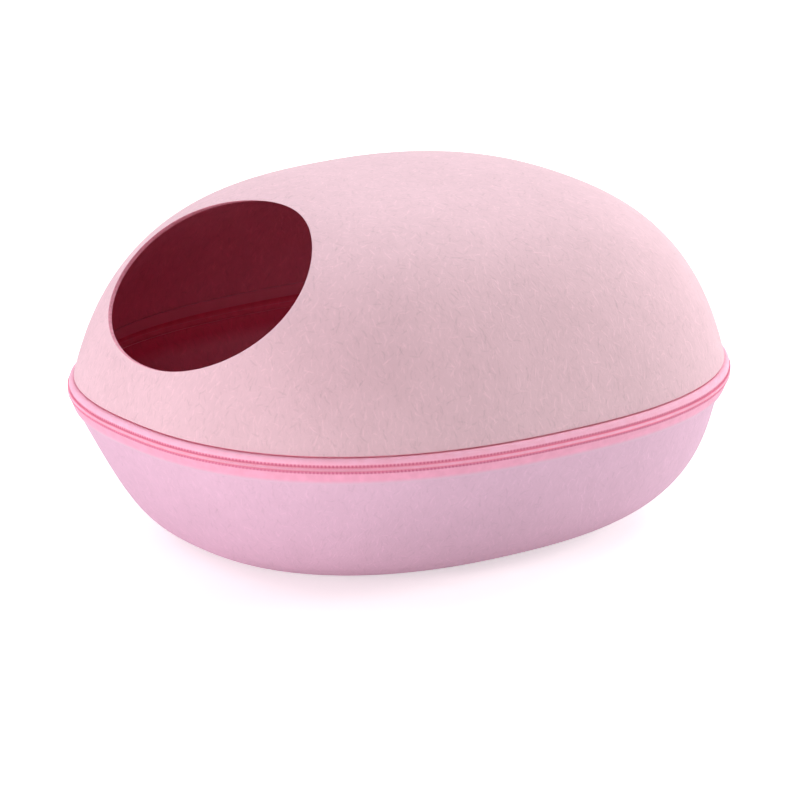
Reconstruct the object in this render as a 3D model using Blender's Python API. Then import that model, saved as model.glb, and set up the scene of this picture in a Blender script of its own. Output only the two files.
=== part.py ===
"""Felt cat cave: two moulded felt shells joined by a coil zip around their widest line.

Frame: metres, +Z up, the entrance faces -Y and the origin is on the ground under the middle.
"""
import math

import bmesh
import bpy
from mathutils import Matrix, Vector

MM = 0.001

# Overall size, over the zip, which is the widest line.
LENGTH = 0.470
WIDTH = 0.390
HEIGHT = 0.250
ZIP_HEIGHT = 0.104          # middle of the coil above the ground
PLAN_ROUNDNESS = 2.35       # superellipse exponent of the plan: 2 is an ellipse, more is squarer

HALF_LENGTH = LENGTH / 2
HALF_WIDTH = WIDTH / 2

# Felt shells. Insets are measured inwards from the coil's outermost line.
FELT_THICKNESS = 3 * MM
DOME_RIM_INSET = 4.1 * MM
DOME_RIM_HEIGHT = ZIP_HEIGHT + 8 * MM
BOWL_RIM_INSET = 5.2 * MM
BOWL_RIM_HEIGHT = ZIP_HEIGHT - 11 * MM
BOWL_SEAM_INSET = 2.8 * MM          # top edge of the bowl, behind the lower tape
BOWL_SEAM_HEIGHT = ZIP_HEIGHT - 3.8 * MM
BASE_REACH = 0.105                  # half length of the flat base

# Each shell's side view is one curve from its level middle to its rim. "level" and "upright" say how
# far it holds those two directions, and "lean" how many degrees it leans outwards at the rim.
DOME_FRONT = {"level": 0.085, "upright": 0.140, "lean": 13}
DOME_BACK = {"level": 0.155, "upright": 0.090, "lean": 13}
BOWL_FRONT = {"level": 0.070, "upright": 0.104, "lean": 27}
BOWL_BACK = {"level": 0.130, "upright": 0.010, "lean": 42}

# Entrance: an elliptical tube's cut through the front of the dome, rising towards the front.
ENTRANCE_HALF_WIDTH = 0.0895
ENTRANCE_HALF_HEIGHT = 0.0600
ENTRANCE_RISE = math.radians(14)
ENTRANCE_AXIS_HEIGHT = ZIP_HEIGHT + 0.052   # where the tube's axis crosses the middle of the cave
CUTTER_START = 0.060
CUTTER_LENGTH = 0.300

# Zip. Section rows are (inset, height over the middle of the coil) of the outer face, in millimetres.
TAPE_THICKNESS = 1 * MM
UPPER_TAPE_ROWS = (
    (0.8, 2.6),     # edge beside the coil
    (1.9, 5.0),
    (3.6, 6.4),     # here it passes under the dome's cut edge
    (7.4, 6.5),
    (8.2, 8.6),     # and turns up behind it
    (10.1, 15.5),
)
LOWER_TAPE_ROWS = (
    (0.8, -2.6),    # edge beside the coil
    (1.8, -5.4),
    (3.7, -11.5),   # lower edge, outside the bowl's rim
)
COIL_ROWS = (
    (1.7, 0.2),
    (0.5, 0.2),
    (0.0, 0.8),
    (0.0, 1.2),
    (0.5, 1.8),
    (1.7, 1.8),
)

# Slider, in its own frame: X along the zip, Y outwards from the coil's face, Z up.
SLIDER_ANGLE = math.radians(118)    # on the plan, from +X, at the back
SLIDER_LENGTH = 9 * MM
SLIDER_HEIGHT = 7.6 * MM
PLATE_THICKNESS = 1.2 * MM
PLATE_GAP = 0.4 * MM
FLANGE_THICKNESS = 0.8 * MM
FLANGE_DEPTH = 0.9 * MM
JOINED_DEPTH = 0.2 * MM             # how far the slider's joined blocks reach into each other
BRIDGE_LENGTH = 6 * MM
BRIDGE_WIDTH = 1.6 * MM
BRIDGE_THICKNESS = 0.8 * MM
BRIDGE_RISE = 3.2 * MM              # outer face of the bridge over the plate
PULL_WIDTH = 6 * MM
PULL_LENGTH = 17 * MM
PULL_THICKNESS = 1.2 * MM
EYE_WIRE = 0.55 * MM                # radius of the eye's wire
EYE_GAP = 0.35 * MM

# Resolution
SEGMENTS = 56               # around the plan
DOME_STEPS = 12             # from crown to rim
BOWL_STEPS = 8              # from base to rim
CUTTER_SEGMENTS = 48

COLOURS = {                 # base colour, roughness, metallic
    "felt_dome": ((0.87, 0.62, 0.66), 0.95, 0.0),
    "felt_bowl": ((0.82, 0.58, 0.72), 0.95, 0.0),
    "zip_tape": ((0.91, 0.42, 0.56), 0.85, 0.0),
    "zip_coil": ((0.83, 0.30, 0.46), 0.45, 0.0),
    "zip_slider": ((0.83, 0.36, 0.50), 0.40, 0.0),
}


def clear_scene():
    for item in list(bpy.data.objects):
        bpy.data.objects.remove(item, do_unlink=True)


def material(name):
    colour, roughness, metallic = COLOURS[name]
    made = bpy.data.materials.new(name)
    made.use_nodes = True
    shader = made.node_tree.nodes["Principled BSDF"]
    shader.inputs["Base Color"].default_value = (*colour, 1.0)
    shader.inputs["Roughness"].default_value = roughness
    shader.inputs["Metallic"].default_value = metallic
    return made


def add_object(name, bm, slot):
    """Link the bmesh as an object with its faces pointing out, smooth but for its sharp edges."""
    mesh = bpy.data.meshes.new(name)
    bm.to_mesh(mesh)
    bm.free()
    mesh.shade_smooth()
    mesh.set_sharp_from_angle(angle=math.radians(40))
    mesh.materials.append(slot)
    made = bpy.data.objects.new(name, mesh)
    bpy.context.scene.collection.objects.link(made)
    return made


def plan_point(angle, half_width, half_length, height):
    """A point on the plan's superellipse; angle 0 is +X and 90 degrees is +Y, the back."""
    cosine, sine = math.cos(angle), math.sin(angle)
    power = 2 / PLAN_ROUNDNESS
    x = math.copysign(abs(cosine) ** power, cosine) * half_width
    y = math.copysign(abs(sine) ** power, sine) * half_length
    return Vector((x, y, height))


def inset_point(angle, inset, height):
    return plan_point(angle, HALF_WIDTH - inset, HALF_LENGTH - inset, height)


def plan_angles():
    return [2 * math.pi * step / SEGMENTS for step in range(SEGMENTS)]


def side_curve(angle, front, back, start, end, step):
    """Point (reach, height) at 0..1 along a shell's side view in one direction of the plan."""
    share = (1 - math.sin(angle)) / 2
    level, upright, lean = (share * front[key] + (1 - share) * back[key] for key in ("level", "upright", "lean"))
    lean = math.radians(lean)
    away = math.copysign(1, start[1] - end[1])
    handles = (
        Vector(start),
        Vector((start[0] + level, start[1])),
        Vector((end[0] - upright * math.sin(lean), end[1] + away * upright * math.cos(lean))),
        Vector(end),
    )
    weights = ((1 - step) ** 3, 3 * (1 - step) ** 2 * step, 3 * (1 - step) * step ** 2, step ** 3)
    return sum((handle * weight for handle, weight in zip(handles, weights)), Vector((0, 0)))


def shell_rows(front, back, start, end, inset, steps):
    """Rings of points from a shell's middle or base to its rim."""
    squash = (HALF_WIDTH - inset) / (HALF_LENGTH - inset)
    rows = []
    for number in range(steps + 1):
        row = []
        for angle in plan_angles():
            reach, height = side_curve(angle, front, back, start, end, number / steps)
            row.append(plan_point(angle, reach * squash, reach, height))
        rows.append(row)
    return rows


def skin(bm, rows):
    """Join rings of points with quads, each ring to the next."""
    rings = [[bm.verts.new(point) for point in row] for row in rows]
    for ring, following in zip(rings, rings[1:]):
        for index in range(SEGMENTS):
            after = (index + 1) % SEGMENTS
            bm.faces.new((ring[index], ring[after], following[after], following[index]))
    return rings


def thicken(item, thickness):
    """Give an open sheet its thickness on the inner side."""
    solidify = item.modifiers.new("thickness", "SOLIDIFY")
    solidify.thickness = thickness
    solidify.offset = -1
    solidify.use_even_offset = True
    solidify.use_quality_normals = True


def dome_felt(slot):
    bm = bmesh.new()
    rim_reach = HALF_LENGTH - DOME_RIM_INSET
    rows = shell_rows(
        DOME_FRONT, DOME_BACK, (0.0, HEIGHT), (rim_reach, DOME_RIM_HEIGHT), DOME_RIM_INSET, DOME_STEPS)
    rings = skin(bm, rows[1:])
    crown = bm.verts.new((0, 0, HEIGHT))
    for index in range(SEGMENTS):
        bm.faces.new((crown, rings[0][(index + 1) % SEGMENTS], rings[0][index]))
    bmesh.ops.recalc_face_normals(bm, faces=bm.faces)
    face_outwards(bm)
    dome = add_object("dome_felt", bm, slot)
    thicken(dome, FELT_THICKNESS)
    cut = dome.modifiers.new("entrance", "BOOLEAN")
    cut.operation = "DIFFERENCE"
    cut.solver = "EXACT"
    cut.object = entrance_cutter()
    return dome


def face_outwards(bm):
    """Turn the faces of an open shell away from its middle."""
    middle = Vector((0, 0, ZIP_HEIGHT))
    balance = sum((face.calc_center_median() - middle).dot(face.normal) for face in bm.faces)
    if balance < 0:
        bmesh.ops.reverse_faces(bm, faces=bm.faces)


def entrance_cutter():
    bm = bmesh.new()
    bmesh.ops.create_cone(
        bm, cap_ends=True, segments=CUTTER_SEGMENTS, radius1=1, radius2=1, depth=CUTTER_LENGTH)
    stretch = Matrix.Diagonal((ENTRANCE_HALF_WIDTH, ENTRANCE_HALF_HEIGHT, 1, 1))
    along = Matrix.Translation((0, 0, CUTTER_START + CUTTER_LENGTH / 2))
    turn = Matrix.Rotation(math.pi / 2 - ENTRANCE_RISE, 4, "X")
    place = Matrix.Translation((0, 0, ENTRANCE_AXIS_HEIGHT))
    bm.transform(place @ turn @ along @ stretch)
    mesh = bpy.data.meshes.new("entrance_cutter")
    bm.to_mesh(mesh)
    bm.free()
    cutter = bpy.data.objects.new("entrance_cutter", mesh)
    cutter.hide_render = True
    cutter.display_type = "WIRE"
    bpy.context.scene.collection.objects.link(cutter)
    return cutter


def bowl_felt(slot):
    bm = bmesh.new()
    rim_reach = HALF_LENGTH - BOWL_RIM_INSET
    rows = shell_rows(
        BOWL_FRONT, BOWL_BACK, (BASE_REACH, 0.0), (rim_reach, BOWL_RIM_HEIGHT), BOWL_RIM_INSET, BOWL_STEPS)
    rows.append([inset_point(angle, BOWL_SEAM_INSET, BOWL_SEAM_HEIGHT) for angle in plan_angles()])
    rings = skin(bm, rows)
    bm.faces.new(rings[0])
    bmesh.ops.recalc_face_normals(bm, faces=bm.faces)
    face_outwards(bm)
    bowl = add_object("bowl_felt", bm, slot)
    thicken(bowl, FELT_THICKNESS)
    return bowl


def zip_tape(name, rows, slot):
    """A band all round the cave, from the outer face's rows."""
    bm = bmesh.new()
    skin(bm, [
        [inset_point(angle, inset * MM, ZIP_HEIGHT + height * MM) for angle in plan_angles()]
        for inset, height in rows
    ])
    bmesh.ops.recalc_face_normals(bm, faces=bm.faces)
    face_outwards(bm)
    tape = add_object(name, bm, slot)
    thicken(tape, TAPE_THICKNESS)
    return tape


def zip_coil(name, side, slot):
    """Half of the closed chain: side is 1 above the middle and -1 below it."""
    bm = bmesh.new()
    rows = [
        [inset_point(angle, inset * MM, ZIP_HEIGHT + side * height * MM) for angle in plan_angles()]
        for inset, height in COIL_ROWS
    ]
    rings = skin(bm, rows)
    for index in range(SEGMENTS):
        after = (index + 1) % SEGMENTS
        bm.faces.new((rings[-1][index], rings[-1][after], rings[0][after], rings[0][index]))
    bmesh.ops.recalc_face_normals(bm, faces=bm.faces)
    return add_object(name, bm, slot)


def slider_frame():
    """Matrix from the slider's own frame to the world: X along the zip, Y outwards, Z up."""
    here = inset_point(SLIDER_ANGLE, 0, ZIP_HEIGHT)
    beside = inset_point(SLIDER_ANGLE + math.radians(1), 0, ZIP_HEIGHT)
    along = (here - beside).normalized()
    up = Vector((0, 0, 1))
    outwards = up.cross(along)
    return Matrix.Translation(here) @ Matrix((along, outwards, up)).transposed().to_4x4()


def add_block(bm, low, high):
    """A box between two corners."""
    low, high = Vector(low), Vector(high)
    place = Matrix.Translation((low + high) / 2) @ Matrix.Diagonal((*(high - low), 1))
    return bmesh.ops.create_cube(bm, size=1, matrix=place)["verts"]


def join(item, others):
    """Union other objects into this one; they stay only as guides."""
    for other in others:
        union = item.modifiers.new("union", "BOOLEAN")
        union.operation = "UNION"
        union.solver = "EXACT"
        union.object = other
        other.hide_render = True
        other.display_type = "WIRE"
    return item


def placed_block(name, frame, low, high, slot):
    bm = bmesh.new()
    add_block(bm, low, high)
    block = add_object(name, bm, slot)
    block.matrix_world = frame
    return block


def zip_slider(frame, slot):
    """Outer plate with a flange along each side and a bridge for the pull."""
    half_length, half_height = SLIDER_LENGTH / 2, SLIDER_HEIGHT / 2
    plate_face = PLATE_GAP + PLATE_THICKNESS
    body = placed_block(
        "zip_slider", frame, (-half_length, PLATE_GAP, -half_height), (half_length, plate_face, half_height), slot)
    pieces = []
    for side in (-1, 1):
        inner, outer = sorted((side * (half_height - FLANGE_THICKNESS), side * half_height))
        pieces.append(placed_block(
            f"flange_guide_{side + 1}", frame,
            (-half_length, PLATE_GAP - FLANGE_DEPTH, inner), (half_length, PLATE_GAP + JOINED_DEPTH, outer), slot))
    half_bridge = BRIDGE_LENGTH / 2
    for side in (-1, 1):
        inner, outer = sorted((side * (half_bridge - BRIDGE_THICKNESS), side * half_bridge))
        pieces.append(placed_block(
            f"bridge_leg_guide_{side + 1}", frame,
            (inner, plate_face - JOINED_DEPTH, -BRIDGE_WIDTH / 2),
            (outer, plate_face + BRIDGE_RISE - JOINED_DEPTH, BRIDGE_WIDTH / 2), slot))
    pieces.append(placed_block(
        "bridge_guide", frame,
        (-half_bridge, plate_face + BRIDGE_RISE - BRIDGE_THICKNESS, -BRIDGE_WIDTH / 2),
        (half_bridge, plate_face + BRIDGE_RISE, BRIDGE_WIDTH / 2), slot))
    return join(body, pieces)


def zip_pull(frame, slot):
    """A flat pull hanging from a wire eye that passes under the bridge."""
    plate_face = PLATE_GAP + PLATE_THICKNESS
    bridge_middle = plate_face + BRIDGE_RISE - BRIDGE_THICKNESS / 2
    eye_radius = math.hypot(BRIDGE_THICKNESS, BRIDGE_WIDTH) / 2 + EYE_GAP + EYE_WIRE
    bpy.ops.mesh.primitive_torus_add(
        major_segments=16, minor_segments=8, major_radius=eye_radius, minor_radius=EYE_WIRE)
    eye = bpy.context.object
    eye.name = "eye_guide"
    eye.data.transform(Matrix.Translation((0, bridge_middle, 0)) @ Matrix.Rotation(math.pi / 2, 4, "Y"))
    eye.matrix_world = frame
    top = -eye_radius + EYE_WIRE / 2
    pull = placed_block(
        "zip_pull", frame,
        (-PULL_WIDTH / 2, bridge_middle - PULL_THICKNESS / 2, top - PULL_LENGTH),
        (PULL_WIDTH / 2, bridge_middle + PULL_THICKNESS / 2, top), slot)
    return join(pull, [eye])


def build():
    clear_scene()
    slots = {name: material(name) for name in COLOURS}
    dome_felt(slots["felt_dome"])
    bowl_felt(slots["felt_bowl"])
    zip_tape("zip_tape_upper", UPPER_TAPE_ROWS, slots["zip_tape"])
    zip_tape("zip_tape_lower", LOWER_TAPE_ROWS, slots["zip_tape"])
    zip_coil("zip_coil_upper", 1, slots["zip_coil"])
    zip_coil("zip_coil_lower", -1, slots["zip_coil"])
    frame = slider_frame()
    zip_slider(frame, slots["zip_slider"])
    zip_pull(frame, slots["zip_slider"])


build()
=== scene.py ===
"""Felt cat cave: two pressed felt shells, a coil zip round their widest line, and the stage it stands on."""
import math

import bpy
import numpy as np
from bpy.props import FloatProperty, FloatVectorProperty, PointerProperty
from mathutils import Matrix, Vector
from mathutils.kdtree import KDTree


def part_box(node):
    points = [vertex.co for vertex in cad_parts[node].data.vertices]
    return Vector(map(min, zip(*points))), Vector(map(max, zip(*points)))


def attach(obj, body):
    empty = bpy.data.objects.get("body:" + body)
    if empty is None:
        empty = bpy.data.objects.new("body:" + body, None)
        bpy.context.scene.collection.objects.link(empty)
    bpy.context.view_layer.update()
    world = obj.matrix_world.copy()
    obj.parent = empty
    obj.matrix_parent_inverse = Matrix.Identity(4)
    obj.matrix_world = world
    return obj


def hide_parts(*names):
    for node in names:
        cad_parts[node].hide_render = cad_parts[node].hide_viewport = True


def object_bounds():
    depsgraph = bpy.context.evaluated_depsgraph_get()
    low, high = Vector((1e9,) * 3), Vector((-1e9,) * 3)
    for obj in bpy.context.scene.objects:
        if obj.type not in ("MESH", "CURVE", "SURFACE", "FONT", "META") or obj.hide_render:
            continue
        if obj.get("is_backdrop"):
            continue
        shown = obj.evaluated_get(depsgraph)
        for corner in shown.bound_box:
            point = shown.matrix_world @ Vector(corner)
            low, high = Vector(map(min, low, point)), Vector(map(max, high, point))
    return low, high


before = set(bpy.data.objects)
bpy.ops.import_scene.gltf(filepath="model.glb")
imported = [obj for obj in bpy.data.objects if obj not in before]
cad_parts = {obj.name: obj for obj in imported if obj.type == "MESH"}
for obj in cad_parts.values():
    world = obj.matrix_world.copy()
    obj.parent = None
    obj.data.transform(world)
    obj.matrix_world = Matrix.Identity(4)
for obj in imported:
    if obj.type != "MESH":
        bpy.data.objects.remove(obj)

bl_info = {
    "name": "Felt cat cave",
    "version": (1, 0, 0),
    "blender": (4, 5, 0),
    "location": "3D View > Sidebar > Cat cave",
    "description": "Builds a felt cat cave with a coil zip round its middle, and a plain studio",
    "category": "Mesh",
}

MM = 0.001
CAVE_LOW, CAVE_HIGH = (Vector(corner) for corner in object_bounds())
ZIP_LEVEL = (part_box("zip_coil_upper")[0][2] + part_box("zip_coil_lower")[1][2]) / 2

# Side views of the two shells, each one curve from a level middle to the rim: how far it stays level,
# how far it stays upright at the rim, and how many degrees it leans outwards there.
DOME_FRONT = (0.085, 0.140, 13)
DOME_BACK = (0.155, 0.090, 13)
BOWL_FRONT = (0.070, 0.104, 27)
BOWL_BACK = (0.130, 0.010, 42)
BOWL_BASE_REACH = 0.105
DOME_RIM = (4.1, 8.0)               # inset from the coil's face and height over its middle, in mm
BOWL_RIM = (5.2, -11.0)
BOWL_SEAM = (2.8, -3.8)             # where the bowl's edge ends, behind the lower tape
ZIP_STEPS = 720                     # points of the zip's guide line, and columns of its tapes
STITCH = 2.6 * MM                   # length of one stitch of the thread that sews the coil on
STITCHED = (0.70, 0.38, 0.50)       # how much of the tape's red, green and blue shows under it

# Outer faces of the tapes, from the edge behind the coil outwards, as (inset, height) in mm.
UPPER_TAPE_FOLDS = (
    (1.22, 0.08), (1.22, 1.3), (1.2, 2.0), (1.05, 2.45), (0.9, 2.9), (0.9, 3.5), (1.0, 4.5), (1.25, 5.5),
    (1.7, 6.3), (2.5, 6.9), (3.6, 7.1), (4.8, 6.98), (5.6, 6.8), (6.6, 6.6), (7.3, 6.8), (7.55, 7.5),
    (7.95, 9.0), (8.5, 11.5), (9.5, 15.5))
LOWER_TAPE_FOLDS = (
    (1.22, -0.08), (1.22, -1.3), (1.2, -2.0), (1.05, -2.45), (0.9, -2.9), (1.0, -3.5), (1.5, -4.8),
    (2.1, -6.2), (3.0, -8.6), (4.0, -10.8), (4.55, -11.7))

# Layers of fibres in the felt: seed, spacing and width in metres, and weight.
FIBRE_LAYERS = ((0.0, 0.0074, 0.0012, 1.0), (17.0, 0.0056, 0.0011, 0.9), (41.0, 0.0038, 0.0009, 0.7))
INNER_FACE = {"fibres": 0.10, "bump": 0.4, "sheen": 0.05}


# ---- Sizes and colours ----

def measure(name, description, default):
    return FloatProperty(name=name, description=description, unit="LENGTH", default=default)


def bearing(name, description, degrees):
    return FloatProperty(name=name, description=description, subtype="ANGLE", default=math.radians(degrees))


def colour(name, description, default):
    return FloatVectorProperty(
        name=name, description=description, subtype="COLOR", size=3, min=0, max=1, default=default)


class CaveSizes(bpy.types.PropertyGroup):
    length: measure("Length", "Front to back over the zip", CAVE_HIGH.y - CAVE_LOW.y)
    width: measure("Width", "Side to side over the zip", CAVE_HIGH.x - CAVE_LOW.x)
    height: measure("Height", "Ground to crown", CAVE_HIGH.z)
    zip_level: measure("Zip level", "Middle of the coil above the ground", ZIP_LEVEL)
    roundness: FloatProperty(
        name="Plan roundness", description="2 is an ellipse seen from above, more is squarer", default=2.35)
    felt: measure("Felt", "Thickness of the pressed felt", 3 * MM)
    entrance_width: measure("Entrance width", "Across the cutter of the entrance", 0.179)
    entrance_height: measure("Entrance height", "Up the cutter of the entrance", 0.120)
    entrance_rise: bearing("Entrance rise", "How steeply the cutter points up", 14)
    entrance_level: measure("Entrance level", "Cutter's axis over the zip, at the middle of the cave", 0.052)


class ZipSizes(bpy.types.PropertyGroup):
    tape: measure("Tape", "Thickness of the woven tape", 0.55 * MM)
    wire: measure("Coil wire", "Thickness of the coil's wire", 0.62 * MM)
    pitch: measure("Coil pitch", "From one turn to the next", 1.3 * MM)
    slider_angle: bearing("Slider", "Where the slider is parked, from the right-hand side", 118)
    slider_length: measure("Slider length", "Along the zip", 9 * MM)
    slider_height: measure("Slider height", "Across the zip", 7.6 * MM)
    pull_length: measure("Pull length", "Below its eye", 17 * MM)
    pull_width: measure("Pull width", "Along the zip", 6 * MM)


class CaveColours(bpy.types.PropertyGroup):
    dome: colour("Upper felt", "Pale warm pink of the upper shell", (0.750, 0.515, 0.565))
    bowl: colour("Lower felt", "Lilac pink of the lower shell", (0.715, 0.470, 0.590))
    # painted shade: the inner faces are the same felt, given a deeper, redder pink that stands in for the
    # shade inside the cave
    inside: colour("Inside", "Deep pink of the inner faces", (0.84, 0.285, 0.40))
    # painted light: the cut face's pink is brighter and stronger than the felt's, to lift the shade on it
    cut: colour("Cut edge", "Stronger pink of the felt's core, where it is cut", (0.97, 0.46, 0.57))
    tape: colour("Lower tape", "Clear pink of the woven tape", (0.85, 0.365, 0.51))
    # painted light: the upper tape is the same tape as the lower one, made paler to lift the shade under the
    # dome's edge
    tape_painted_paler: colour("Upper tape", "Paler pink of the tape that faces up", (1.0, 0.465, 0.61))
    # painted shade: the tape's inner face is the same tape, given a deep pink that stands in for the shade
    # inside the cave
    tape_back: colour("Tape, inside", "Deep pink of the tape's inner face", (0.80, 0.13, 0.24))
    coil: colour("Coil", "Pink of the nylon coil", (0.99, 0.55, 0.69))
    thread: colour("Thread", "Deep pink of the sewing thread over the coil's legs", (0.77, 0.20, 0.33))
    metal: colour("Slider", "Pink enamel of the slider and its pull", (0.78, 0.27, 0.42))
    floor: colour("Floor", "Pale floor", (0.90, 0.90, 0.90))


# ---- Shape of the cave ----

def sizes():
    return bpy.context.scene.cave_sizes


def plan_point(angle, half_width, half_length):
    """Points of the plan's rounded oval; angle 0 is the right-hand side and 90 degrees the back."""
    power = 2 / sizes().roundness
    cosine, sine = np.cos(angle), np.sin(angle)
    return (np.sign(cosine) * np.abs(cosine) ** power * half_width,
            np.sign(sine) * np.abs(sine) ** power * half_length)


def side_handles(angle, front, back, start, end):
    """The four (reach, height) handles of a shell's side curve in each direction of the plan."""
    share = (1 - np.sin(angle)) / 2
    level, upright, lean = (share * a + (1 - share) * b for a, b in zip(front, back))
    lean = np.radians(lean)
    away = math.copysign(1, start[1] - end[1])
    ones = np.ones_like(share)
    return (
        (start[0] * ones, start[1] * ones),
        (start[0] + level, start[1] * ones),
        (end[0] - upright * np.sin(lean), end[1] + away * upright * np.cos(lean)),
        (end[0] * ones, end[1] * ones),
    )


def side_curve(handles, step):
    weights = ((1 - step) ** 3, 3 * (1 - step) ** 2 * step, 3 * (1 - step) * step ** 2, step ** 3)
    reach = sum(handle[0] * weight for handle, weight in zip(handles, weights))
    height = sum(handle[1] * weight for handle, weight in zip(handles, weights))
    return reach, height


def furthest(holds, near, far):
    """The furthest distance, between near and far, up to which holds(distance) is true."""
    for _ in range(30):
        middle = (near + far) / 2
        if holds(middle):
            near = middle
        else:
            far = middle
    return near


class DomeForm:
    """The upper shell's outer surface, measured along the felt from its crown."""

    FINE = 240
    CUTTER_REACH = (0.05, 0.36)         # the cutter leaves the felt between these distances
    RIM_REACH = 1.2                     # further than any way from the entrance to the rim

    def __init__(self):
        size = sizes()
        self.end = (size.length / 2 - DOME_RIM[0] * MM, size.zip_level + DOME_RIM[1] * MM)
        self.squash = (size.width / 2 - DOME_RIM[0] * MM) / self.end[0]
        self.power = size.roundness / 2
        self.steps = np.linspace(0, 1, self.FINE + 1)

    def profile(self, angle):
        """Reach, height and length along the felt of one direction's side curve, at fine steps."""
        handles = side_handles(np.array([angle]), DOME_FRONT, DOME_BACK, (0.0, sizes().height), self.end)
        reach, height = side_curve(handles, self.steps)
        plan = np.array(plan_point(np.array([angle]), self.squash, 1.0)).ravel()
        run = np.hypot(np.diff(reach) * np.hypot(*plan), np.diff(height))
        return reach, height, np.concatenate(([0], np.cumsum(run)))

    def surface(self, angle, along):
        """The point a length along the felt from the crown, in one direction of the plan."""
        reach, height, run = self.profile(angle)
        far = np.interp(along, run, reach)
        x, y = plan_point(np.array([angle]), far * self.squash, far)
        return x[0], y[0], np.interp(along, run, height)

    def under(self, point):
        """The plan direction of a point, how far out it is, and how far under the surface."""
        x, y, z = point
        side = math.copysign(abs(x / self.squash) ** self.power, x)
        ahead = math.copysign(abs(y) ** self.power, y)
        angle, far = math.atan2(ahead, side), (side ** 2 + ahead ** 2) ** (0.5 / self.power)
        reach, height, run = self.profile(angle)
        inside = far < reach[-1]
        depth = np.interp(far, reach, height) - z if inside else -1.0
        return angle, np.interp(far, reach, run), depth

    def at(self, spot):
        """The point over a spot of the unrolled surface."""
        return np.array(self.surface(math.atan2(spot[1], spot[0]), np.linalg.norm(spot)))

    def outward(self, spot):
        """The surface's normal at a spot of the unrolled surface."""
        east, north = np.array((MM, 0)), np.array((0, MM))
        eastwards = self.at(spot + east) - self.at(spot - east)
        northwards = self.at(spot + north) - self.at(spot - north)
        normal = np.cross(eastwards, northwards)
        return normal / np.linalg.norm(normal)

    def entrance(self, count):
        """Where the straight oval cutter comes out through the felt, on the unrolled surface, and how far
        its cut through the thickness leaves the felt's normal."""
        size = sizes()
        rise = size.entrance_rise
        ahead = np.array((0, -math.cos(rise), math.sin(rise)))
        up = np.array((0, math.sin(rise), math.cos(rise)))
        outline, slants = [], []
        for turn in np.linspace(0, 2 * math.pi, count, endpoint=False):
            start = np.array((0, 0, size.zip_level + size.entrance_level))
            start = start + up * (size.entrance_height / 2 * math.sin(turn))
            start[0] += size.entrance_width / 2 * math.cos(turn)
            reach = furthest(lambda gone: self.under(start + ahead * gone)[2] > 0, *self.CUTTER_REACH)
            angle, along, _ = self.under(start + ahead * reach)
            spot = np.array((math.cos(angle), math.sin(angle))) * along
            normal = self.outward(spot)
            outline.append(spot)
            slants.append(size.felt * (normal - ahead / normal.dot(ahead)))
        return np.array(outline), np.array(slants)

    def rim_beyond(self, middle, edge):
        """Where a straight line on the unrolled surface, past the entrance's edge, meets the rim."""
        heading = (edge - middle) / np.linalg.norm(edge - middle)

        def on_felt(gone):
            spot = edge + heading * gone
            return np.linalg.norm(spot) < self.profile(math.atan2(spot[1], spot[0]))[2][-1]

        return edge + heading * furthest(on_felt, 0.0, self.RIM_REACH)


# ---- Modelling by hand ----

def start_piece(name):
    """Name the primitive that was just added."""
    piece = bpy.context.object
    piece.name = name
    piece.data.name = name
    return piece


def deselect_all():
    if bpy.context.object and bpy.context.object.mode != "OBJECT":
        bpy.ops.object.mode_set(mode="OBJECT")
    bpy.ops.object.select_all(action="DESELECT")


def only(piece):
    deselect_all()
    piece.select_set(True)
    bpy.context.view_layer.objects.active = piece


def apply_modifier(piece, kind, **settings):
    only(piece)
    modifier = piece.modifiers.new(kind.lower(), kind)
    for key, value in settings.items():
        setattr(modifier, key, value)
    bpy.ops.object.modifier_apply(modifier=modifier.name)


def apply_place(piece):
    only(piece)
    bpy.ops.object.transform_apply(location=True, rotation=True, scale=True)


def smooth(piece, degrees):
    """Shade a piece smooth, but for its edges sharper than this."""
    only(piece)
    bpy.ops.object.shade_smooth_by_angle(angle=math.radians(degrees))


def edit_all(piece):
    """Go into edit mode on one piece, with all of its mesh selected."""
    only(piece)
    bpy.ops.object.mode_set(mode="EDIT")
    bpy.ops.mesh.select_all(action="SELECT")


def edit_faces(piece):
    """Go into edit mode on one piece, with all of its faces selected."""
    edit_all(piece)
    bpy.ops.mesh.select_mode(type="FACE")


def merge_and_face_out(piece, distance=1e-6):
    edit_all(piece)
    bpy.ops.mesh.remove_doubles(threshold=distance)
    bpy.ops.mesh.normals_make_consistent(inside=False)
    bpy.ops.object.mode_set(mode="OBJECT")


def turn_shell_outwards(piece):
    """Turn an open shell's faces away from the middle of the zip."""
    middle = Vector((0, 0, sizes().zip_level))
    balance = sum((Vector(face.center) - middle).dot(face.normal) * face.area for face in piece.data.polygons)
    if balance < 0:
        edit_all(piece)
        bpy.ops.mesh.flip_normals()
        bpy.ops.object.mode_set(mode="OBJECT")


def felt_blank(name, around, across, place):
    """A flat grid of felt, laid over a form: place(column, row) gives each point; the ends are joined."""
    deselect_all()
    bpy.ops.mesh.primitive_grid_add(x_subdivisions=around, y_subdivisions=across, size=1)
    blank = start_piece(name)
    for vertex in blank.data.vertices:
        column = round((vertex.co.x + 0.5) * around) % around
        row = round((vertex.co.y + 0.5) * across)
        vertex.co = place(column, row)
    merge_and_face_out(blank)
    turn_shell_outwards(blank)
    return blank


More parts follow.
